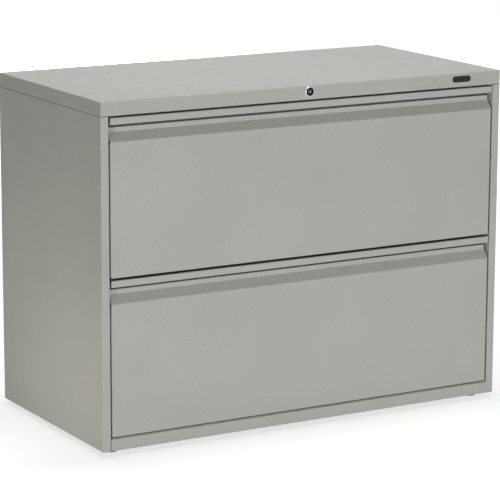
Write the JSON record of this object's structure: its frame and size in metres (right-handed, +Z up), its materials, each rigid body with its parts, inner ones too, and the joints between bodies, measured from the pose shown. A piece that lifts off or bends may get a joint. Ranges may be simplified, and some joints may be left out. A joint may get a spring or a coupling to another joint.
{
  "type": "lateral filing cabinet",
  "caption": "Lateral filing cabinet in folded sheet steel with full-width hook pulls, ball-slide drawers for hanging folders, a central lock and levelling glides.",
  "frame": {"origin": "on the floor under the middle of the cabinet's box, with the drawers shut", "axes": "+X along the width to the right as seen from the front, -Y out of the front, +Z up"},
  "size_m": [0.914, 0.4596, 0.692],
  "materials": {
    "paint": "grey powder coat, fine texture",
    "zinc": "zinc-plated steel",
    "ballast": "bare hot-rolled steel",
    "chrome": "bright chrome plate",
    "plate_plastic": "black plastic plate, bare"
  },
  "bodies": {
    "case": {"top_cap": "paint", "left_side_panel": "paint", "right_side_panel": "paint", "back_panel": "paint", "base_front_rail": "paint", "base_rear_rail": "paint", "bottom_pan": "paint", "counterweight": "ballast", "front_upright_left": "zinc", "front_upright_right": "zinc", "rear_upright_left": "zinc", "rear_upright_right": "zinc", "top_front_rail": "zinc", "badge_plate": "plate_plastic", "lock_housing": "chrome", "lock_nut": "zinc", "upper_slide_case_left": "zinc", "upper_slide_case_right": "zinc", "lower_slide_case_left": "zinc", "lower_slide_case_right": "zinc"},
    "upper_drawer": {"upper_drawer_front": "paint", "upper_drawer_front_liner": "paint", "upper_drawer_side_left": "paint", "upper_drawer_side_right": "paint", "upper_drawer_back": "paint", "upper_drawer_bottom": "paint", "upper_hang_rail_front": "zinc", "upper_hang_rail_rear": "zinc", "upper_slide_drawer_left": "zinc", "upper_slide_drawer_right": "zinc"},
    "lower_drawer": {"lower_drawer_front": "paint", "lower_drawer_front_liner": "paint", "lower_drawer_side_left": "paint", "lower_drawer_side_right": "paint", "lower_drawer_back": "paint", "lower_drawer_bottom": "paint", "lower_hang_rail_front": "zinc", "lower_hang_rail_rear": "zinc", "lower_slide_drawer_left": "zinc", "lower_slide_drawer_right": "zinc"},
    "upper_slide_middle": {"upper_slide_middle_left": "zinc", "upper_slide_middle_right": "zinc"},
    "lower_slide_middle": {"lower_slide_middle_left": "zinc", "lower_slide_middle_right": "zinc"},
    "upper_ball_cage_outer": {"upper_ball_cage_outer_left": "zinc", "upper_ball_cage_outer_right": "zinc"},
    "upper_ball_cage_inner": {"upper_ball_cage_inner_left": "zinc", "upper_ball_cage_inner_right": "zinc"},
    "lower_ball_cage_outer": {"lower_ball_cage_outer_left": "zinc", "lower_ball_cage_outer_right": "zinc"},
    "lower_ball_cage_inner": {"lower_ball_cage_inner_left": "zinc", "lower_ball_cage_inner_right": "zinc"},
    "lock_plug": {"lock_plug": "chrome", "lock_cam": "zinc"},
    "lock_link": {"lock_link": "zinc"},
    "lock_bar": {"lock_bar": "zinc"},
    "glide_front_left": {"glide_front_left": "zinc"},
    "glide_front_right": {"glide_front_right": "zinc"},
    "glide_rear_left": {"glide_rear_left": "zinc"},
    "glide_rear_right": {"glide_rear_right": "zinc"}
  },
  "joints": [
    {"name": "upper_drawer_slide", "type": "slide", "parent": "case", "child": "upper_drawer", "axis": [0, -1, 0], "range_m": [0, 0.4]},
    {"name": "lower_drawer_slide", "type": "slide", "parent": "case", "child": "lower_drawer", "axis": [0, -1, 0], "range_m": [0, 0.4]},
    {"name": "upper_middle_slide", "type": "slide", "parent": "case", "child": "upper_slide_middle", "axis": [0, -1, 0], "range_m": [0, 0.2]},
    {"name": "lower_middle_slide", "type": "slide", "parent": "case", "child": "lower_slide_middle", "axis": [0, -1, 0], "range_m": [0, 0.2]},
    {"name": "upper_outer_cage_roll", "type": "slide", "parent": "case", "child": "upper_ball_cage_outer", "axis": [0, -1, 0], "range_m": [0, 0.1]},
    {"name": "upper_inner_cage_roll", "type": "slide", "parent": "case", "child": "upper_ball_cage_inner", "axis": [0, -1, 0], "range_m": [0, 0.3]},
    {"name": "lower_outer_cage_roll", "type": "slide", "parent": "case", "child": "lower_ball_cage_outer", "axis": [0, -1, 0], "range_m": [0, 0.1]},
    {"name": "lower_inner_cage_roll", "type": "slide", "parent": "case", "child": "lower_ball_cage_inner", "axis": [0, -1, 0], "range_m": [0, 0.3]},
    {"name": "lock_turn", "type": "hinge", "parent": "case", "child": "lock_plug", "pos_m": [0, -0.22725, 0.6797], "axis": [0, 1, 0], "range_deg": [0, 90]},
    {"name": "lock_link_shift", "type": "slide", "parent": "case", "child": "lock_link", "axis": [-1, 0, 0], "range_m": [0, 0.0227]},
    {"name": "lock_bar_drop", "type": "slide", "parent": "case", "child": "lock_bar", "axis": [0, 0, -1], "range_m": [0, 0.01583]},
    {"name": "glide_front_left_screw", "type": "slide", "parent": "case", "child": "glide_front_left", "axis": [0, 0, -1], "range_m": [0, 0.018]},
    {"name": "glide_front_right_screw", "type": "slide", "parent": "case", "child": "glide_front_right", "axis": [0, 0, -1], "range_m": [0, 0.018]},
    {"name": "glide_rear_left_screw", "type": "slide", "parent": "case", "child": "glide_rear_left", "axis": [0, 0, -1], "range_m": [0, 0.018]},
    {"name": "glide_rear_right_screw", "type": "slide", "parent": "case", "child": "glide_rear_right", "axis": [0, 0, -1], "range_m": [0, 0.018]}
  ],
  "couplings": [
    {"joint": "upper_middle_slide", "follows": "upper_drawer_slide", "ratio": 0.5},
    {"joint": "upper_outer_cage_roll", "follows": "upper_drawer_slide", "ratio": 0.25},
    {"joint": "upper_inner_cage_roll", "follows": "upper_drawer_slide", "ratio": 0.75},
    {"joint": "lower_middle_slide", "follows": "lower_drawer_slide", "ratio": 0.5},
    {"joint": "lower_outer_cage_roll", "follows": "lower_drawer_slide", "ratio": 0.25},
    {"joint": "lower_inner_cage_roll", "follows": "lower_drawer_slide", "ratio": 0.75},
    {"joint": "lock_turn", "follows": "lock_bar_drop", "rad_per_m": 99.17},
    {"joint": "lock_link_shift", "follows": "lock_bar_drop", "ratio": 1.4286}
  ]
}
